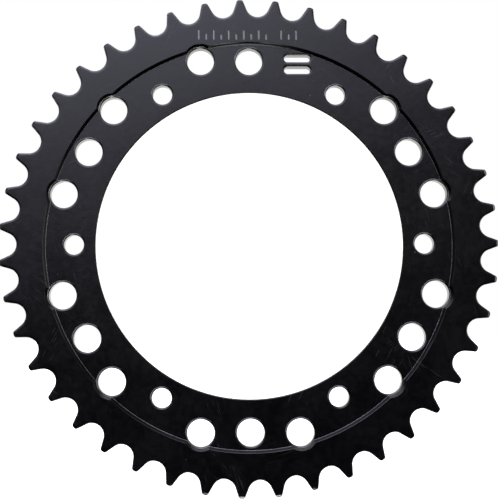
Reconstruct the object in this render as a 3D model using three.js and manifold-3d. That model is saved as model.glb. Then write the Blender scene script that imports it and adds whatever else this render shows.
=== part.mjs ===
// A motorcycle rear sprocket for a 525 chain: one blanked and machined steel plate.
// Millimetres, +Z up. The origin is on the spin axis, in the middle of the teeth's thickness.
// The sprocket spins about +Y. Its front face, with the thinner web, looks along -Y.

import * as THREE from "three";
import { mergeVertices } from "three/addons/utils/BufferGeometryUtils.js";
import Module from "manifold-3d";

// Chain and teeth
const TEETH = 43;
const CHAIN_PITCH = 15.875;
const ROLLER_DIAMETER = 10.16;
const TIP_RADIUS = 111.7;
const TIP_CORNER_RADIUS = 1.3;
const SEAT_RADIUS = 5.33; // of the round bottom between two teeth
const FLANK_ANGLE = THREE.MathUtils.degToRad(20.1); // between a flank and its tooth's centre line
const TIP_BEVEL_WIDTH = 1.0; // turned on both faces of every tip, measured along the radius
const TIP_BEVEL_DEPTH = 0.8;

// Plate: the teeth's thickness, and the recess that leaves the web thinner
const RIM_THICKNESS = 7.4;
const RECESS_DEPTH = 2.2;
const RECESS_FLOOR_RADIUS = 91.0;
const RECESS_TOP_RADIUS = 92.1;

// Holes
const BORE_RADIUS = 68.8;
const BOLT_CIRCLE_RADIUS = 78.5;
const BOLT_HOLE_RADIUS = 4.4;
const BOLT_COUNT = 6;
const LIGHTENING_RADIUS = 6.1;
const LIGHTENING_CIRCLE_RADIUS = 83.4; // of the middle hole of each group of three
const LIGHTENING_SPACING = 22.0; // from the middle hole to its two neighbours, along a chord
const SCALLOP_FLOOR_WALL = 0.5; // the recess floor reaches this far round an outer lightening hole
const SCALLOP_TOP_WALL = 1.6; // and its wall ends this far from the hole, on the rim's face

// Two plain round-ended slots take the place of one lightening hole
const SLOT_LENGTH = 12.0;
const SLOT_WIDTH = 3.2;
const SLOT_SPACING = 5.4;
const SLOT_INSET = 1.3; // nearer to the axis than the hole's place, so that the recess wall stays whole

// Fineness of the round shapes
const SEAT_STEPS = 8;
const CORNER_STEPS = 2;
const BORE_STEPS = 120;
const HOLE_STEPS = 28;
const RECESS_STEPS = 120;
const CUT_MARGIN = 1.0; // a cutter runs this far past the face that it cuts

const TOOTH_ANGLE = (2 * Math.PI) / TEETH;
const PITCH_RADIUS = CHAIN_PITCH / (2 * Math.sin(TOOTH_ANGLE / 2));
const ROOT_RADIUS = PITCH_RADIUS - ROLLER_DIAMETER / 2;
const HALF_THICKNESS = RIM_THICKNESS / 2;
const WEB_FACE = HALF_THICKNESS - RECESS_DEPTH;
const GROUP_ANGLE = (2 * Math.PI) / BOLT_COUNT;

const wasm = await Module();
wasm.setup();

function solidOf(geometry) {
  geometry.deleteAttribute("normal");
  geometry.deleteAttribute("uv");
  const merged = mergeVertices(geometry, 1e-4);
  return new wasm.Manifold(
    new wasm.Mesh({
      numProp: 3,
      vertProperties: merged.attributes.position.array,
      triVerts: new Uint32Array(merged.index.array),
    }),
  );
}

function geometryOf(solid) {
  const mesh = solid.getMesh();
  const geometry = new THREE.BufferGeometry();
  geometry.setAttribute("position", new THREE.BufferAttribute(mesh.vertProperties, 3));
  geometry.setIndex(new THREE.BufferAttribute(mesh.triVerts, 1));
  return geometry.toNonIndexed();
}

function arcPoints(centre, radius, from, to, steps) {
  return Array.from({ length: steps + 1 }, (_, i) => {
    const angle = from + ((to - from) * i) / steps;
    return new THREE.Vector2(
      centre.x + radius * Math.cos(angle),
      centre.y + radius * Math.sin(angle),
    );
  });
}

// One tooth and the roller seat before it, with the tooth's centre line along +x:
// the seat's arc, a straight flank, the rounded corner, the tip's land and the other corner.
function toothPoints() {
  const seatCentre = new THREE.Vector2(ROOT_RADIUS + SEAT_RADIUS, 0);
  seatCentre.rotateAround(new THREE.Vector2(), -TOOTH_ANGLE / 2);
  // The seat's arc is symmetric about its own centre line and ends where the flanks begin.
  const towardsAxis = Math.PI - TOOTH_ANGLE / 2;
  const seatHalfAngle = Math.PI / 2 - FLANK_ANGLE - TOOTH_ANGLE / 2;
  const seat = arcPoints(
    seatCentre,
    SEAT_RADIUS,
    towardsAxis + seatHalfAngle,
    towardsAxis - seatHalfAngle,
    SEAT_STEPS,
  );
  // The corner's centre lies one corner radius inside both the flank and the tip.
  const flankEnd = seat[seat.length - 1];
  const cornerX = TIP_RADIUS - TIP_CORNER_RADIUS;
  const flankHalfWidth = -flankEnd.y - (cornerX - flankEnd.x) * Math.tan(FLANK_ANGLE);
  const cornerY = flankHalfWidth - TIP_CORNER_RADIUS / Math.cos(FLANK_ANGLE);
  const cornerSweep = Math.PI / 2 - FLANK_ANGLE;
  const rising = new THREE.Vector2(cornerX, -cornerY);
  const falling = new THREE.Vector2(cornerX, cornerY);
  return [
    ...seat,
    ...arcPoints(rising, TIP_CORNER_RADIUS, -cornerSweep, 0, CORNER_STEPS),
    ...arcPoints(falling, TIP_CORNER_RADIUS, 0, cornerSweep, CORNER_STEPS),
  ];
}

function toothedOutline() {
  const tooth = toothPoints();
  const origin = new THREE.Vector2();
  const points = [];
  for (let i = 0; i < TEETH; i++) {
    points.push(...tooth.map((p) => p.clone().rotateAround(origin, i * TOOTH_ANGLE)));
  }
  return new THREE.Shape(points);
}

function circlePath(centre, radius, steps) {
  return new THREE.Path(arcPoints(centre, radius, 0, 2 * Math.PI, steps).slice(0, -1));
}

function onCircle(radius, angle) {
  return new THREE.Vector2(radius * Math.cos(angle), radius * Math.sin(angle));
}

// The groups of three lightening holes lie between the bolt holes. Counted from +x, the second
// group is the top one, and its clockwise hole gives way to the slots.
function lighteningCentres() {
  const centres = [];
  for (let group = 0; group < BOLT_COUNT; group++) {
    const angle = (group + 0.5) * GROUP_ANGLE;
    for (const side of [-1, 0, 1]) {
      const centre = new THREE.Vector2(LIGHTENING_CIRCLE_RADIUS, side * LIGHTENING_SPACING);
      centre.rotateAround(new THREE.Vector2(), angle);
      centres.push({ centre, angle, outer: side !== 0, slotted: group === 1 && side === -1 });
    }
  }
  return centres;
}

function slotPath(centre, angle) {
  const half = (SLOT_LENGTH - SLOT_WIDTH) / 2;
  const radius = SLOT_WIDTH / 2;
  const ends = [half, -half].map((along) => {
    const end = new THREE.Vector2(centre.x + along, centre.y);
    return end.rotateAround(centre, angle);
  });
  const steps = HOLE_STEPS / 4;
  return new THREE.Path([
    ...arcPoints(ends[0], radius, angle - Math.PI / 2, angle + Math.PI / 2, steps),
    ...arcPoints(ends[1], radius, angle + Math.PI / 2, angle + (3 * Math.PI) / 2, steps),
  ]);
}

function plateBlank() {
  const shape = toothedOutline();
  shape.holes.push(circlePath(new THREE.Vector2(), BORE_RADIUS, BORE_STEPS));
  for (let i = 0; i < BOLT_COUNT; i++) {
    const centre = onCircle(BOLT_CIRCLE_RADIUS, i * GROUP_ANGLE);
    shape.holes.push(circlePath(centre, BOLT_HOLE_RADIUS, HOLE_STEPS));
  }
  for (const { centre, angle, slotted } of lighteningCentres()) {
    if (!slotted) {
      shape.holes.push(circlePath(centre, LIGHTENING_RADIUS, HOLE_STEPS));
      continue;
    }
    for (const side of [-0.5, 0.5]) {
      const offset = onCircle(side * SLOT_SPACING - SLOT_INSET, angle);
      shape.holes.push(slotPath(centre.clone().add(offset), angle + Math.PI / 2));
    }
  }
  const plate = new THREE.ExtrudeGeometry(shape, { depth: RIM_THICKNESS, bevelEnabled: false });
  plate.translate(0, 0, -HALF_THICKNESS);
  return solidOf(plate);
}

// A solid of revolution about +z from its closed [radius, height] profile.
function turned(profile, steps) {
  const points = profile.map(([radius, height]) => new THREE.Vector2(radius, height));
  const geometry = new THREE.LatheGeometry([...points, points[0]], steps);
  geometry.rotateX(Math.PI / 2);
  return geometry;
}

// A cutter for the recess: a cone whose wall slopes from the web's face up to the rim's.
function recessCutter(floorRadius, topRadius, steps) {
  const slope = (topRadius - floorRadius) / RECESS_DEPTH;
  const end = HALF_THICKNESS + CUT_MARGIN;
  const profile = [
    [0, WEB_FACE],
    [floorRadius, WEB_FACE],
    [topRadius + slope * CUT_MARGIN, end],
    [0, end],
  ];
  return turned(profile, steps);
}

function recess() {
  let cut = solidOf(recessCutter(RECESS_FLOOR_RADIUS, RECESS_TOP_RADIUS, RECESS_STEPS));
  for (const { centre, outer, slotted } of lighteningCentres()) {
    if (!outer || slotted) continue;
    const scallop = recessCutter(
      LIGHTENING_RADIUS + SCALLOP_FLOOR_WALL,
      LIGHTENING_RADIUS + SCALLOP_TOP_WALL,
      HOLE_STEPS,
    );
    scallop.translate(centre.x, centre.y, 0);
    cut = cut.add(solidOf(scallop));
  }
  return cut;
}

// The solid that the turned tip bevels leave: a disc with both of its edges bevelled.
function bevelledDisc() {
  const bevelStart = TIP_RADIUS - TIP_BEVEL_WIDTH;
  const outside = TIP_RADIUS + CUT_MARGIN;
  const slope = TIP_BEVEL_DEPTH / TIP_BEVEL_WIDTH;
  const outsideHeight = HALF_THICKNESS - slope * (outside - bevelStart);
  const profile = [
    [0, -HALF_THICKNESS],
    [bevelStart, -HALF_THICKNESS],
    [outside, -outsideHeight],
    [outside, outsideHeight],
    [bevelStart, HALF_THICKNESS],
    [0, HALF_THICKNESS],
  ];
  return solidOf(turned(profile, 2 * TEETH));
}

function sprocketPlate() {
  const steel = new THREE.MeshStandardMaterial({
    color: 0x141417,
    roughness: 0.38,
    metalness: 0.3,
  });
  const solid = plateBlank().intersect(bevelledDisc()).subtract(recess());
  const mesh = new THREE.Mesh(geometryOf(solid), steel);
  mesh.name = "sprocket_plate";
  mesh.rotation.x = Math.PI / 2;
  return mesh;
}

const sprocket = new THREE.Group();
sprocket.add(sprocketPlate());

export default sprocket;
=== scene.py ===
"""A motorcycle rear sprocket in satin black steel, on a pale floor in soft studio light.

The plate is one closed mesh. Its two faces are height fields over one flat triangulation: every edge
treatment (rolled tooth edges, turned tip bevels, rounded hole edges, the recess wall, the ticks)
is a formula for the height, and lines are laid into the triangulation wherever a formula creases.
Plate coordinates are millimetres: x to the right, y up, height towards the front face.
"""

import math

import bmesh
import bpy
import numpy as np
from mathutils import Matrix, Vector
from mathutils.geometry import delaunay_2d_cdt


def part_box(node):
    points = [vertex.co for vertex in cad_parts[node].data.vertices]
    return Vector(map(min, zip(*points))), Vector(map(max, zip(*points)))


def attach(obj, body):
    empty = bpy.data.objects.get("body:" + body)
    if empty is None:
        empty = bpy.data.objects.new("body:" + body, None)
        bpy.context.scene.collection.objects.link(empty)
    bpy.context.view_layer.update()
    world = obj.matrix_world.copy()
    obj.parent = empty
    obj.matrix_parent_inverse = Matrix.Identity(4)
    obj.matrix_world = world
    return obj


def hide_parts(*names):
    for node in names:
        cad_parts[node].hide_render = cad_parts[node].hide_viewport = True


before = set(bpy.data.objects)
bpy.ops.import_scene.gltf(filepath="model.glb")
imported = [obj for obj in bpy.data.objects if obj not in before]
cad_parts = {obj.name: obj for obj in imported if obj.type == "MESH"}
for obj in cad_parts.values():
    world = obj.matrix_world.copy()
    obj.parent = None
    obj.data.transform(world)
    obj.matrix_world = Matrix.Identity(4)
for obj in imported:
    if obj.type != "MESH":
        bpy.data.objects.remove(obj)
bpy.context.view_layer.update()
MM = 0.001

# The plate's own box gives its thickness and the reach of its teeth, one of which points along +x.
LOW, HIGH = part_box("sprocket_plate")
HALF_THICKNESS = HIGH.y / MM
TIP_RADIUS = HIGH.x / MM

# Chain and teeth
TEETH = 43
TOOTH_ANGLE = 2 * math.pi / TEETH
CHAIN_PITCH = 15.875
ROLLER_DIAMETER = 10.16
ROOT_RADIUS = CHAIN_PITCH / (2 * math.sin(TOOTH_ANGLE / 2)) - ROLLER_DIAMETER / 2
SEAT_RADIUS = 5.33
TIP_CORNER_RADIUS = 1.3
FLANK_ANGLE = math.radians(20.1)
TIP_BEVEL_WIDTH = 1.0
TIP_BEVEL_DEPTH = 0.8

# Web, recess and holes
RECESS_DEPTH = 2.2
RECESS_FLOOR_RADIUS = 91.0
RECESS_TOP_RADIUS = 92.1
BORE_RADIUS = 68.8
BOLT_CIRCLE_RADIUS = 78.5
BOLT_HOLE_RADIUS = 4.4
GROUPS = 6
GROUP_ANGLE = 2 * math.pi / GROUPS
LIGHTENING_RADIUS = 6.1
LIGHTENING_CIRCLE_RADIUS = 83.4
LIGHTENING_SPACING = 22.0
SCALLOP_FLOOR_RADIUS = LIGHTENING_RADIUS + 0.5
SCALLOP_TOP_RADIUS = LIGHTENING_RADIUS + 1.6
SLOT_LENGTH = 12.0
SLOT_WIDTH = 3.2
SLOT_SPACING = 5.4
SLOT_INSET = 1.3
SLOTTED_GROUP = 1
SLOTTED_SIDE = -1

# Edge treatments that the CAD plate leaves out
ROLL_WIDTH = 1.0  # the rounded edge all round the teeth
ROLL_DEPTH = 0.34
BROKEN_WIDTH = 0.72  # the rounded edge of every hole and slot
BROKEN_DEPTH = 0.5
BORE_BROKEN_WIDTH = 0.45  # and of the bore
BORE_BROKEN_DEPTH = 0.35
FILLET_SHARE = 0.3  # share of the recess wall's width that is rounded at its foot, and again at its top

# Stamped marks: a plain row of long and short ticks above the recess, like a ruler's
MARK_HEIGHT = 4.2
SHORT_MARK_HEIGHT = 2.4
MARK_WIDTH = 0.62
MARK_DEPTH = 0.2
MARK_WALL = 0.22
MARK_PITCH = 3.4
MARK_CENTRE = (-0.6, 95.1)
MARK_ROW = "|.|.|.|.|. |.|"

# Lighter edges: how far they reach from the teeth's edges, the holes' edges and the marks, and how
# bare or light they get. Along the teeth this is rubbed paint, with a painted sheen added towards
# the upper left; round the holes and at the recess wall's foot it is a painted highlight.
TOOTH_RUB_AND_SHEEN = 1.5
# Painted highlight: a lighter ring just outside every hole's rounded edge, reaching this far.
HOLE_HIGHLIGHT_REACH = 0.95
# A lighter rim round each stamped mark, reaching this far.
MARK_RIM = 0.15
TOOTH_WEAR_AND_SHEEN = 0.8  # the most that the teeth's edges are lightened, where 1 is bare: rubbed paint, and painted sheen at the upper left
# How light the painted highlight along the recess wall's foot is, where 1 is bare.
FOOT_HIGHLIGHT = 0.85
TOOTH_SHEEN_LEAST = 0.45  # how much of the teeth's lightening there is on the side away from the light; the rest, growing towards the upper left, is painted sheen
TOOTH_SHEEN_MOST_AT = math.radians(112)
# Round the holes the painted highlight is this light where least, and lightest towards the upper left.
HOLE_HIGHLIGHT_LEAST = 0.3
HOLE_HIGHLIGHT_SIDE = math.radians(118)
FOOT_HIGHLIGHT_REACH = 0.2  # painted highlight along the recess wall's foot: its reach as a share of the recess wall's width, to both sides of the wall's foot

# Fineness: numbers of steps, and the lines that are laid into the triangulation
SEAT_STEPS = 18
CORNER_STEPS = 6
HOLE_STEPS = 72
BORE_STEPS = 540
RECESS_STEPS = 1080
BEVEL_STEPS = 24 * TEETH
ROOT_LINE_STEPS = 12 * TEETH
BEVEL_LINES = (0, 0.45, 0.8)  # across the tip bevel, in mm from its inner edge
WALL_SHARES = (0, 0.1, 0.2, 0.3, 0.5, 0.7, 0.8, 0.9, 1)  # lines across the recess wall
MERGE_DISTANCE = 1e-5
ROUND_SHARES = (0.04, 0.15, 0.32, 0.6, 1.0)  # lines across every rounded edge, from the edge inwards


# --- flat shapes ----------------------------------------------------------------------------------

def polar(radius, angle):
    return np.array([radius * math.cos(angle), radius * math.sin(angle)])


def arc(centre, radius, start, end, steps):
    angles = np.linspace(start, end, steps + 1)
    return np.stack([centre[0] + radius * np.cos(angles), centre[1] + radius * np.sin(angles)], 1)


def circle(centre, radius, steps=HOLE_STEPS):
    return arc(centre, radius, 0, 2 * math.pi, steps)[:-1]


def stadium(centre, half_length, radius, angle, steps=HOLE_STEPS // 3):
    """A round-ended slot's outline. half_length is from the centre to the middle of either end."""
    along = polar(half_length, angle)
    quarter = math.pi / 2
    ends = [
        arc(centre + along, radius, angle - quarter, angle + quarter, steps),
        arc(centre - along, radius, angle + quarter, angle + 3 * quarter, steps),
    ]
    return np.concatenate(ends)


def stadium_distance(points, centre, half_length, angle):
    """How far each point is from the slot's middle line."""
    along = polar(1, angle)
    offset = points - centre
    reach = np.clip(offset @ along, -half_length, half_length)
    return np.linalg.norm(offset - reach[:, None] * along, axis=1)


# One tooth stands along +x; its seat, flank and corner on the side of positive y.
SEAT_CENTRE = polar(ROOT_RADIUS + SEAT_RADIUS, TOOTH_ANGLE / 2)
FLANK_NORMAL = np.array([math.sin(FLANK_ANGLE), math.cos(FLANK_ANGLE)])
FLANK_ALONG = np.array([math.cos(FLANK_ANGLE), -math.sin(FLANK_ANGLE)])
FLANK_START = SEAT_CENTRE - SEAT_RADIUS * FLANK_NORMAL
CORNER_X = TIP_RADIUS - TIP_CORNER_RADIUS
CORNER_Y = (
    FLANK_START[1]
    - (CORNER_X - FLANK_START[0]) * math.tan(FLANK_ANGLE)
    - TIP_CORNER_RADIUS / math.cos(FLANK_ANGLE)
)
CORNER_CENTRE = np.array([CORNER_X, CORNER_Y])
FLANK_LENGTH = (CORNER_CENTRE + TIP_CORNER_RADIUS * FLANK_NORMAL - FLANK_START) @ FLANK_ALONG


def tooth_outline(inset):
    """The closed outline of all teeth, moved into the metal by inset."""
    corner = arc(CORNER_CENTRE, TIP_CORNER_RADIUS - inset, 0, math.pi / 2 - FLANK_ANGLE, CORNER_STEPS)
    seat_start = -math.pi / 2 - FLANK_ANGLE
    seat_end = -math.pi + TOOTH_ANGLE / 2
    seat = arc(SEAT_CENTRE, SEAT_RADIUS + inset, seat_start, seat_end, SEAT_STEPS // 2)
    half = np.concatenate([corner, seat])
    mirrored = half[::-1][1:] * (1, -1)
    tooth = np.concatenate([mirrored, half])
    turns = [np.array([[math.cos(a), math.sin(a)], [-math.sin(a), math.cos(a)]])
             for a in TOOTH_ANGLE * np.arange(TEETH)]
    return np.concatenate([tooth @ turn for turn in turns])


def tooth_inset(points):
    """How far each point lies inside the toothed outline."""
    angle = np.arctan2(points[:, 1], points[:, 0])
    angle = np.abs((angle + TOOTH_ANGLE / 2) % TOOTH_ANGLE - TOOTH_ANGLE / 2)
    radius = np.linalg.norm(points, axis=1)
    folded = np.stack([radius * np.cos(angle), radius * np.sin(angle)], 1)
    seat = np.linalg.norm(folded - SEAT_CENTRE, axis=1) - SEAT_RADIUS
    from_start = folded - FLANK_START
    along = from_start @ FLANK_ALONG
    flank = -(from_start @ FLANK_NORMAL)
    corner = TIP_CORNER_RADIUS - np.linalg.norm(folded - CORNER_CENTRE, axis=1)
    land = TIP_RADIUS - folded[:, 0]
    inset = np.where(along < 0, seat, np.where(along < FLANK_LENGTH, flank, corner))
    return np.where((along >= FLANK_LENGTH) & (folded[:, 1] < CORNER_Y), land, inset)


# --- what is cut into the plate -------------------------------------------------------------------

def hole_places():
    """The centre and radius of every round hole, and whether the recess bulges round it."""
    places = [(polar(BOLT_CIRCLE_RADIUS, i * GROUP_ANGLE), BOLT_HOLE_RADIUS, False)
              for i in range(GROUPS)]
    for group in range(GROUPS):
        angle = (group + 0.5) * GROUP_ANGLE
        for side in (-1, 0, 1):
            if (group, side) == (SLOTTED_GROUP, SLOTTED_SIDE):
                continue
            place = polar(LIGHTENING_CIRCLE_RADIUS, angle)
            place = place + side * polar(LIGHTENING_SPACING, angle + math.pi / 2)
            places.append((place, LIGHTENING_RADIUS, side != 0))
    return places


def slot_places():
    angle = (SLOTTED_GROUP + 0.5) * GROUP_ANGLE
    place = polar(LIGHTENING_CIRCLE_RADIUS - SLOT_INSET, angle)
    place = place + SLOTTED_SIDE * polar(LIGHTENING_SPACING, angle + math.pi / 2)
    return [place + polar(side * SLOT_SPACING, angle) for side in (-0.5, 0.5)]


HOLES = hole_places()
SCALLOPED = [place for place, _, scalloped in HOLES if scalloped]
SLOTS = slot_places()
SLOT_HALF = (SLOT_LENGTH - SLOT_WIDTH) / 2


def mark_places():
    """(centre, half length, angle) of each stamped bar."""
    start = MARK_CENTRE[0] - MARK_PITCH * (len(MARK_ROW) - 1) / 2
    places = []
    for i, kind in enumerate(MARK_ROW):
        if kind == " ":
            continue
        height = MARK_HEIGHT if kind == "|" else SHORT_MARK_HEIGHT
        middle = MARK_CENTRE[1] - (MARK_HEIGHT - height) / 2
        centre = np.array([start + i * MARK_PITCH, middle])
        places.append((centre, (height - MARK_WIDTH) / 2, math.pi / 2))
    return places


MARKS = mark_places()


# --- heights --------------------------------------------------------------------------------------

def recess_share(points):
    """Across the recess wall: 0 at its foot, 1 at its top, below 0 on the recess floor."""
    radius = np.linalg.norm(points, axis=1)
    share = (radius - RECESS_FLOOR_RADIUS) / (RECESS_TOP_RADIUS - RECESS_FLOOR_RADIUS)
    for place in SCALLOPED:
        distance = np.linalg.norm(points - place, axis=1)
        width = SCALLOP_TOP_RADIUS - SCALLOP_FLOOR_RADIUS
        share = np.minimum(share, (distance - SCALLOP_FLOOR_RADIUS) / width)
    return share


def wall_profile(share):
    """Height up the recess wall: straight, with a rounding at its foot and one at its top."""
    share = np.clip(share, 0, 1)
    f = FILLET_SHARE
    slope = 1 / (1 - f)
    foot = slope * share**2 / (2 * f)
    top = 1 - slope * (1 - share) ** 2 / (2 * f)
    straight = slope * (share - f / 2)
    return np.where(share < f, foot, np.where(share > 1 - f, top, straight))


def rounded(beyond, width, depth):
    """How deep an edge rounded to a quarter ellipse lies, at each distance beyond that edge."""
    share = np.clip(1 - beyond / width, 0, 1)
    return depth * (1 - np.sqrt(1 - share**2))


def broken_edges(points):
    """How deep the rounded edges of the bore, the holes and the slots lie at each point."""
    cut = rounded(np.linalg.norm(points, axis=1) - BORE_RADIUS, BORE_BROKEN_WIDTH, BORE_BROKEN_DEPTH)
    for place, radius, _ in HOLES:
        beyond = np.linalg.norm(points - place, axis=1) - radius
        cut = np.maximum(cut, rounded(beyond, BROKEN_WIDTH, BROKEN_DEPTH))
    for place in SLOTS:
        beyond = stadium_distance(points, place, SLOT_HALF, 0.0) - SLOT_WIDTH / 2
        cut = np.maximum(cut, rounded(beyond, BROKEN_WIDTH, BROKEN_DEPTH))
    return cut


def tooth_edges(points):
    """How deep the rolled edge and the turned tip bevel cut at each point."""
    roll = rounded(tooth_inset(points), ROLL_WIDTH, ROLL_DEPTH)
    beyond = np.linalg.norm(points, axis=1) - (TIP_RADIUS - TIP_BEVEL_WIDTH)
    bevel = np.maximum(0, beyond * TIP_BEVEL_DEPTH / TIP_BEVEL_WIDTH)
    return np.maximum(roll, bevel)


def mark_cuts(points):
    cut = np.zeros(len(points))
    for centre, half, angle in MARKS:
        distance = stadium_distance(points, centre, half, angle)
        share = np.clip((MARK_WIDTH / 2 - distance) / MARK_WALL, 0, 1)
        cut = np.maximum(cut, MARK_DEPTH * share)
    return cut


def front_height(points):
    step = RECESS_DEPTH * (1 - wall_profile(recess_share(points)))
    cuts = step + broken_edges(points) + tooth_edges(points) + mark_cuts(points)
    return HALF_THICKNESS - cuts


def back_height(points):
    return -(HALF_THICKNESS - broken_edges(points) - tooth_edges(points))


# --- the triangulation ----------------------------------------------------------------------------

def recess_ring(share):
    """The line on the recess wall where the share of its width is the one given."""
    radius = RECESS_FLOOR_RADIUS + share * (RECESS_TOP_RADIUS - RECESS_FLOOR_RADIUS)
    bulge = SCALLOP_FLOOR_RADIUS + share * (SCALLOP_TOP_RADIUS - SCALLOP_FLOOR_RADIUS)
    angles = list(np.linspace(0, 2 * math.pi, RECESS_STEPS, endpoint=False))
    for place in SCALLOPED:
        # The two circles cross where the triangle of their centres and the crossing closes.
        apart = np.linalg.norm(place)
        middle = math.atan2(place[1], place[0])
        half = math.acos((apart**2 + radius**2 - bulge**2) / (2 * apart * radius))
        angles += [(middle + half) % (2 * math.pi), (middle - half) % (2 * math.pi)]
    angles = np.unique(np.round(angles, 9))
    reach = np.full(len(angles), radius)
    for place in SCALLOPED:
        apart = np.linalg.norm(place)
        turn = angles - math.atan2(place[1], place[0])
        chord = bulge**2 - (apart * np.sin(turn)) ** 2
        far = apart * np.cos(turn) + np.sqrt(np.maximum(chord, 0))
        reach = np.where((chord > 0) & (np.cos(turn) > 0), np.maximum(reach, far), reach)
    return np.stack([reach * np.cos(angles), reach * np.sin(angles)], 1)


def boundary_loops():
    """The outline first, then everything that is cut right through."""
    loops = [tooth_outline(0), circle((0, 0), BORE_RADIUS, BORE_STEPS)]
    loops += [circle(place, radius) for place, radius, _ in HOLES]
    loops += [stadium(place, SLOT_HALF, SLOT_WIDTH / 2, 0.0) for place in SLOTS]
    return loops


def crease_loops():
    """Lines inside the metal where the height formulas bend."""
    loops = [tooth_outline(ROLL_WIDTH * share) for share in ROUND_SHARES]
    loops.append(circle((0, 0), ROOT_RADIUS - TOOTH_RUB_AND_SHEEN, ROOT_LINE_STEPS))
    loops += [circle(place, radius + HOLE_HIGHLIGHT_REACH) for place, radius, _ in HOLES]
    for step in BEVEL_LINES:
        loops.append(circle((0, 0), TIP_RADIUS - TIP_BEVEL_WIDTH + step, BEVEL_STEPS))
    loops += [recess_ring(share) for share in (-FOOT_HIGHLIGHT_REACH, *WALL_SHARES)]
    for share in ROUND_SHARES:
        loops.append(circle((0, 0), BORE_RADIUS + share * BORE_BROKEN_WIDTH, BORE_STEPS))
        beyond = share * BROKEN_WIDTH
        loops += [circle(place, radius + beyond) for place, radius, _ in HOLES]
        loops += [stadium(place, SLOT_HALF, SLOT_WIDTH / 2 + beyond, 0.0) for place in SLOTS]
    for centre, half, angle in MARKS:
        for inset in (-MARK_RIM, 0, MARK_WALL):
            loops.append(stadium(centre, half, MARK_WIDTH / 2 - inset, angle))
    return loops


def triangulated():
    """Points and triangles of the plate seen from the front."""
    points, edges, faces = [], [], []
    for loop in boundary_loops():
        faces.append(list(range(len(points), len(points) + len(loop))))
        points += [Vector(p) for p in loop]
    for loop in crease_loops():
        first, count = len(points), len(loop)
        edges += [(first + i, first + (i + 1) % count) for i in range(count)]
        points += [Vector(p) for p in loop]
    made = delaunay_2d_cdt(points, edges, faces, 1, MERGE_DISTANCE)
    places, triangles, owners = made[0], made[2], made[5]
    solid = [t for t, owner in zip(triangles, owners) if list(owner) == [0]]
    return np.array([tuple(p) for p in places]), solid


def plate_mesh():
    """The closed plate: front, back and the walls between their edges."""
    flat, triangles = triangulated()
    front, back = front_height(flat), back_height(flat)
    made = bmesh.new()
    sides = []
    for height in (front, back):
        sides.append([made.verts.new((x * MM, -h * MM, y * MM)) for (x, y), h in zip(flat, height)])
    for triangle in triangles:
        made.faces.new([sides[0][i] for i in triangle])
        made.faces.new([sides[1][i] for i in reversed(triangle)])
    used = {}
    for a, b, c in triangles:
        for pair in ((a, b), (b, c), (c, a)):
            used[pair] = True
    for a, b in used:
        if (b, a) not in used:
            made.faces.new([sides[0][b], sides[0][a], sides[1][a], sides[1][b]])
    loose = [v for v in made.verts if not v.link_faces]
    bmesh.ops.delete(made, geom=loose, context="VERTS")
    return made


SHARP_ANGLE = math.radians(24)


def sprocket_plate(material):
    made = plate_mesh()
    for face in made.faces:
        face.smooth = True
    for edge in made.edges:
        edge.smooth = edge.calc_face_angle(0) < SHARP_ANGLE
    mesh = bpy.data.meshes.new("sprocket")
    made.to_mesh(mesh)
    made.free()
    mesh.materials.append(material)
    corners = np.array([vertex.co[:] for vertex in mesh.vertices])
    # Lighter edges: rubbed paint along the teeth, and painted highlight and sheen where light catches
    # the teeth, the holes and the recess wall's foot.
    wear_and_sheen = mesh.attributes.new("wear_and_sheen", "FLOAT", "POINT")
    wear_and_sheen.data.foreach_set("value", wear_and_sheen_at(corners[:, (0, 2)] / MM, corners[:, 1] < 0))
    bare = mesh.attributes.new("bare", "FLOAT", "FACE")
    middles = np.array([face.center[:] for face in mesh.polygons])
    in_bore = np.hypot(middles[:, 0], middles[:, 2]) < (BORE_RADIUS + 0.001) * MM
    bare.data.foreach_set("value", in_bore.astype(float))
    piece = bpy.data.objects.new("sprocket", mesh)
    bpy.context.scene.collection.objects.link(piece)
    weighted = piece.modifiers.new("even shading", "WEIGHTED_NORMAL")
    weighted.keep_sharp = True
    weighted.weight = 100
    return piece


# --- material -------------------------------------------------------------------------------------

MIX_COLOUR_SOCKETS = (0, 6, 7)  # the Mix node's factor and its two colours
MIX_COLOUR_RESULT = 2


class Nodes:
    """Short ways to add linked shader nodes to one node tree."""

    def __init__(self, tree):
        self.nodes, self.links = tree.nodes, tree.links

    def add(self, kind, inputs=(), **settings):
        node = self.nodes.new(kind)
        for name, value in settings.items():
            setattr(node, name, value)
        for socket, value in dict(inputs).items():
            self.put(node.inputs[socket], value)
        return node

    def put(self, socket, value):
        if isinstance(value, bpy.types.NodeSocket):
            self.links.new(value, socket)
        else:
            socket.default_value = value

    def maths(self, operation, *values, clamp=False):
        node = self.add("ShaderNodeMath", enumerate(values), operation=operation, use_clamp=clamp)
        return node.outputs[0]

    def ramp(self, value, low, high, to_low=0.0, to_high=1.0):
        """A smooth step of value, from to_low below low to to_high above high."""
        inputs = {"Value": value, "From Min": low, "From Max": high, "To Min": to_low, "To Max": to_high}
        return self.add("ShaderNodeMapRange", inputs, interpolation_type="SMOOTHSTEP").outputs[0]

    def noise(self, place, scale, detail=2.0, roughness=0.5):
        inputs = {"Vector": place, "Scale": scale, "Detail": detail, "Roughness": roughness}
        return self.add("ShaderNodeTexNoise", inputs).outputs["Fac"]

    def mixed(self, share, a, b):
        """Colour a where share is 0, colour b where it is 1."""
        node = self.add("ShaderNodeMix", data_type="RGBA")
        factor, first, second = (node.inputs[i] for i in MIX_COLOUR_SOCKETS)
        self.put(factor, share)
        self.put(first, a)
        self.put(second, b)
        return node.outputs[MIX_COLOUR_RESULT]


BLACK_PAINT = (0.0010, 0.0010, 0.0011, 1)
GREY_PAINT = (0.0030, 0.0030, 0.0034, 1)
DUST = (0.20, 0.20, 0.21, 1)
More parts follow.
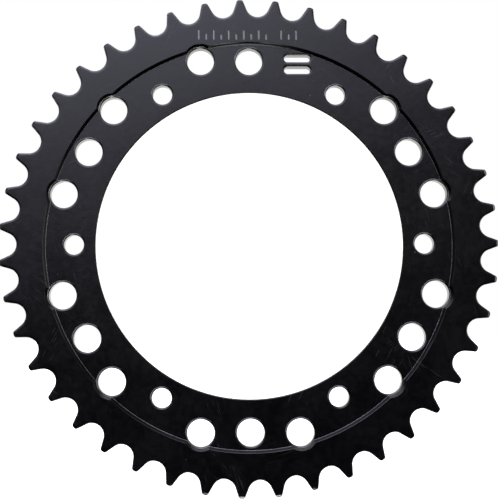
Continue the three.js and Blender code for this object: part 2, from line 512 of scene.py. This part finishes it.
# Bare steel where paint is rubbed, and also the colour of the painted highlight and sheen along edges.
BARE_STEEL_AND_SHEEN = (0.42, 0.42, 0.43, 1)
TURNED_STEEL = (0.80, 0.80, 0.79, 1)  # the wall of the bore
SCRATCH_TONE = 0.08  # how much of the dust's colour a scratch takes on
DUST_TONE = 0.45
RUBBED_AND_SHEEN_TONE = 0.55
RUBBED_AND_SHEEN_METAL = 0.5
WORN_AND_SHEEN_ROUGHNESS = 0.22
BUMP_DISTANCE = 2.2e-5
SCRATCH_ANGLES = (17, 63, -38, -74, 108)  # degrees, in the plate's plane


def scratches(make, place):
    """1 along fine scratches that run in a few directions and come in patches."""
    total = 0.0
    for i, angle in enumerate(SCRATCH_ANGLES):
        turned = make.add("ShaderNodeMapping", {"Vector": place, "Location": (0.3 * i, 0.2, 0.7 * i)})
        turned.inputs["Rotation"].default_value = (0, math.radians(angle), 0)
        stretched = make.add("ShaderNodeVectorMath", {0: turned.outputs[0], 1: (140, 140, 2100)},
                             operation="MULTIPLY")
        line = make.ramp(make.noise(stretched.outputs[0], 1.0, detail=0.0), 0.725, 0.80)
        patch = make.ramp(make.noise(turned.outputs[0], 26.0 + 5 * i, detail=1.0), 0.59, 0.68)
        total = make.maths("MAXIMUM", total, make.maths("MULTIPLY", line, patch))
    return total


def specks(make, place, per_metre, share, size):
    """1 on small round specks, one in some of the cells of a random pattern."""
    inputs = {"Vector": place, "Scale": per_metre, "Randomness": 1.0}
    cells = make.add("ShaderNodeTexVoronoi", inputs, feature="F1")
    chance = make.add("ShaderNodeSeparateColor", {"Color": cells.outputs["Color"]})
    chosen = make.maths("LESS_THAN", chance.outputs["Red"], share)
    reach = make.maths("MULTIPLY", chance.outputs["Green"], size)
    near = make.maths("LESS_THAN", cells.outputs["Distance"], reach)
    return make.maths("MULTIPLY", chosen, near)


def black_steel():
    material = bpy.data.materials.new("satin_black_steel")
    material.use_nodes = True
    make = Nodes(material.node_tree)
    shader = material.node_tree.nodes["Principled BSDF"]
    place = make.add("ShaderNodeTexCoord").outputs["Object"]
    edge_wear_and_sheen = make.add("ShaderNodeAttribute", attribute_name="wear_and_sheen").outputs["Fac"]

    clouds = make.noise(place, 38.0, detail=4.0, roughness=0.6)
    mottle = make.noise(place, 420.0, detail=3.0, roughness=0.6)
    grain = make.noise(place, 3200.0, detail=2.0)
    scratched = scratches(make, place)
    dust = make.maths(
        "MAXIMUM",
        specks(make, place, 150.0, 0.22, 0.055),
        specks(make, place, 420.0, 0.07, 0.10),
    )

    # Paint rubbed thin along edges, and painted highlights and sheen where light catches edges, broken
    # up by two sizes of noise
    chipped = make.maths("MULTIPLY", make.noise(place, 900.0, detail=3.0, roughness=0.7),
                         make.ramp(clouds, 0.35, 0.65, 0.75, 1.15))
    wear_sheen_and_chips = make.maths("ADD", make.maths("MULTIPLY", edge_wear_and_sheen, 0.75),
                              make.maths("MULTIPLY", chipped, 0.45))
    rubbed_and_sheen = make.ramp(wear_sheen_and_chips, 0.60, 0.85)

    tone = make.ramp(make.maths("ADD", make.maths("MULTIPLY", clouds, 0.6),
                                make.maths("MULTIPLY", mottle, 0.4)), 0.35, 0.68)
    colour = make.mixed(tone, BLACK_PAINT, GREY_PAINT)
    colour = make.mixed(make.maths("MULTIPLY", scratched, SCRATCH_TONE), colour, DUST)
    colour = make.mixed(make.maths("MULTIPLY", dust, DUST_TONE), colour, DUST)
    # Lighter along edges: bare steel where paint is rubbed, and the same colour as painted highlight and
    # sheen.
    colour = make.mixed(make.maths("MULTIPLY", rubbed_and_sheen, RUBBED_AND_SHEEN_TONE), colour, BARE_STEEL_AND_SHEEN)
    turned = make.add("ShaderNodeAttribute", attribute_name="bare").outputs["Fac"]
    colour = make.mixed(turned, colour, TURNED_STEEL)
    make.put(shader.inputs["Base Color"], colour)

    rough = make.ramp(clouds, 0.3, 0.7, 0.155, 0.20)
    rough = make.maths("ADD", rough, make.ramp(mottle, 0.3, 0.7, -0.02, 0.03))
    dusty_worn_and_sheen = make.maths("ADD", dust, rubbed_and_sheen)
    rough = make.maths("ADD", rough, make.maths("MULTIPLY", dusty_worn_and_sheen, WORN_AND_SHEEN_ROUGHNESS))
    make.put(shader.inputs["Roughness"], make.maths("ADD", rough, make.maths("MULTIPLY", grain, 0.05)))
    metal = make.maths("MAXIMUM", make.maths("MULTIPLY", rubbed_and_sheen, RUBBED_AND_SHEEN_METAL), turned)
    make.put(shader.inputs["Metallic"], metal)
    shader.inputs["IOR"].default_value = 1.5

    relief = make.maths("MULTIPLY", grain, 0.20)
    relief = make.maths("ADD", relief, make.maths("MULTIPLY", mottle, 0.9))
    relief = make.maths("SUBTRACT", relief, make.maths("MULTIPLY", scratched, 0.5))
    relief = make.maths("ADD", relief, make.maths("MULTIPLY", dust, 1.0))
    bump = make.add("ShaderNodeBump", {"Height": relief, "Strength": 1.0, "Distance": BUMP_DISTANCE})
    make.put(shader.inputs["Normal"], bump.outputs[0])
    return material


def wear_and_sheen_at(points, in_front):
    """How much each point is lightened towards bare steel, from 0 to 1: paint thinned by rubbing
    along the teeth's edges, with a painted sheen towards the upper left; a painted highlight round the
    holes and at the recess wall's foot; a lighter rim round the marks. Marks and recess are on the
    front face only.
    """
    teeth = np.clip(1 - tooth_inset(points) / TOOTH_RUB_AND_SHEEN, 0, 1)
    # Painted sheen: the teeth's edges are lighter towards the upper left, where the light falls.
    angle = np.arctan2(points[:, 1], points[:, 0])
    side = np.cos(angle - TOOTH_SHEEN_MOST_AT).clip(0, 1)
    tooth_sheen_share = TOOTH_SHEEN_LEAST + (1 - TOOTH_SHEEN_LEAST) * side
    holes = np.zeros(len(points))
    for place, radius, _ in HOLES:
        beyond = np.linalg.norm(points - place, axis=1) - radius
        # Painted highlight round every hole, just outside its rounded edge, lightest at the upper left
        # where light catches it.
        side = (points - place) @ polar(1, HOLE_HIGHLIGHT_SIDE) / radius
        ring = np.where(beyond > BROKEN_WIDTH / 2, (HOLE_HIGHLIGHT_REACH - beyond) / (HOLE_HIGHLIGHT_REACH - BROKEN_WIDTH), 0)
        share = HOLE_HIGHLIGHT_LEAST + (1 - HOLE_HIGHLIGHT_LEAST) * np.clip(side, 0, 1)
        holes = np.maximum(holes, np.clip(ring, 0, 1) * share)
    marks = np.zeros(len(points))
    for centre, half, angle in MARKS:
        beyond = stadium_distance(points, centre, half, angle) - MARK_WIDTH / 2
        marks = np.maximum(marks, np.clip((MARK_RIM - beyond) / MARK_RIM, 0, 1))
    # Painted highlight along the recess wall's foot.
    foot = FOOT_HIGHLIGHT * np.clip(1 - np.abs(recess_share(points)) / FOOT_HIGHLIGHT_REACH, 0, 1)
    front_only = np.where(in_front, np.maximum(marks, foot), 0)
    return np.clip(np.maximum.reduce([TOOTH_WEAR_AND_SHEEN * teeth * tooth_sheen_share, holes, front_only]), 0, 1)


# --- studio ---------------------------------------------------------------------------------------

def white_floor():
    made = bmesh.new()
    size = 12.0
    level = LOW.z
    corners = [(-size, -size), (size, -size), (size, size), (-size, size)]
    made.faces.new([made.verts.new((x, y, level)) for x, y in corners])
    mesh = bpy.data.meshes.new("floor")
    made.to_mesh(mesh)
    made.free()
    floor = bpy.data.objects.new("floor", mesh)
    bpy.context.scene.collection.objects.link(floor)
    material = bpy.data.materials.new("pale_floor")
    material.use_nodes = True
    shader = material.node_tree.nodes["Principled BSDF"]
    shader.inputs["Base Color"].default_value = (0.9, 0.9, 0.9, 1)
    shader.inputs["Roughness"].default_value = 0.8
    # The floor glows, so that it stays white behind the teeth, and the plate neither mirrors it nor
    # is lit by it.
    shader.inputs["Emission Color"].default_value = (1, 1, 1, 1)
    shader.inputs["Emission Strength"].default_value = 1.0
    mesh.materials.append(material)
    floor.visible_glossy = False
    floor.visible_diffuse = False


# Soft lights of the studio, as cones of sky: where each is from the plate, in degrees above the
# horizon and to the right of straight ahead, the half angles where it is full and where it ends,
# its strength and its colour.
SOFT_LIGHTS = (
    (43, -13, 10, 42, 4.4, (0.95, 0.94, 1.16)),
    (90, 0, 84.5, 93.5, 0.07, (1.0, 1.0, 1.12)),
    (60, -155, 28, 55, 0.6, (1.0, 1.0, 1.12)),
    (-72, 10, 6, 17, 24.0, (1.0, 1.0, 1.0)),
    (8, 70, 10, 36, 4.6, (1.0, 1.0, 1.0)),
    (8, -72, 10, 34, 0.8, (1.0, 1.0, 1.0)),
    (-6, 180, 14, 26, 1.7, (1.0, 1.0, 0.95)),
)
FILL = (0.01, 0.01, 0.01)


def studio_world():
    """White where the camera sees it; soft lights in the directions above for everything else."""
    world = bpy.data.worlds.new("studio")
    bpy.context.scene.world = world
    world.use_nodes = True
    world.node_tree.nodes.clear()
    make = Nodes(world.node_tree)
    towards = make.add("ShaderNodeTexCoord").outputs["Generated"]
    colour = FILL
    for above, right, full, end, strength, tint in SOFT_LIGHTS:
        up, turn = math.radians(above), math.radians(right)
        axis = (math.cos(up) * math.sin(turn), -math.cos(up) * math.cos(turn), math.sin(up))
        along = make.add("ShaderNodeVectorMath", {0: towards, 1: axis}, operation="DOT_PRODUCT")
        off = make.maths("ARCCOSINE", make.maths("MINIMUM", along.outputs["Value"], 0.99999))
        level = make.ramp(off, math.radians(full), math.radians(end), strength, 0.0)
        tinted = make.add("ShaderNodeVectorMath", {0: tint, "Scale": level}, operation="SCALE")
        colour = make.add("ShaderNodeVectorMath", {0: colour, 1: tinted.outputs[0]},
                          operation="ADD").outputs[0]
    lit = make.add("ShaderNodeBackground", {"Color": colour})
    seen = make.add("ShaderNodeBackground", {"Color": (1, 1, 1, 1)})
    path = make.add("ShaderNodeLightPath")
    mix = make.add("ShaderNodeMixShader",
                   {0: path.outputs["Is Camera Ray"], 1: lit.outputs[0], 2: seen.outputs[0]})
    make.add("ShaderNodeOutputWorld", {"Surface": mix.outputs[0]})


def area_light(name, place, target, size, power):
    light = bpy.data.lights.new(name, "AREA")
    light.shape = "RECTANGLE"
    light.size, light.size_y = size
    light.energy = power
    lamp = bpy.data.objects.new(name, light)
    bpy.context.scene.collection.objects.link(lamp)
    lamp.location = place
    lamp.rotation_mode = "QUATERNION"
    lamp.rotation_quaternion = (Vector(target) - Vector(place)).to_track_quat("-Z", "Y")


# The camera stands a little below and to the left of the spin axis.
CAMERA_DISTANCE = 0.4865
CAMERA_PITCH = math.radians(-5.352)
CAMERA_YAW = math.radians(1.463)
CAMERA_ROLL = math.radians(0.159)
CAMERA_OFFSET = (0.347, -5.639)
CAMERA_LENS = 78
CAMERA_SHIFT = (0, -0.036)


def camera():
    data = bpy.data.cameras.new("camera")
    data.lens = CAMERA_LENS
    data.sensor_width = 36
    data.shift_x, data.shift_y = CAMERA_SHIFT
    # Turning of the plate as the camera sees it; its inverse places the camera round the plate.
    turn = (
        Matrix.Rotation(CAMERA_ROLL, 3, "Z")
        @ Matrix.Rotation(CAMERA_YAW, 3, "Y")
        @ Matrix.Rotation(CAMERA_PITCH, 3, "X")
    )
    plate_to_world = Matrix(((1, 0, 0), (0, 0, -1), (0, 1, 0)))
    towards_plate = plate_to_world @ turn.inverted()
    seen = Vector((-CAMERA_OFFSET[0] * MM, -CAMERA_OFFSET[1] * MM, CAMERA_DISTANCE))
    place = towards_plate @ seen
    lens = bpy.data.objects.new("camera", data)
    bpy.context.scene.collection.objects.link(lens)
    lens.matrix_world = Matrix.Translation(place) @ towards_plate.to_4x4()
    bpy.context.scene.camera = lens


bpy.context.scene.view_settings.view_transform = "Standard"
plate = sprocket_plate(black_steel())
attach(plate, "root")
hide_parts("sprocket_plate")
white_floor()
studio_world()
area_light("softbox", (-0.2, -0.9, 1.5), (0, 0, 0), (1.0, 0.6), 0.5)
camera()
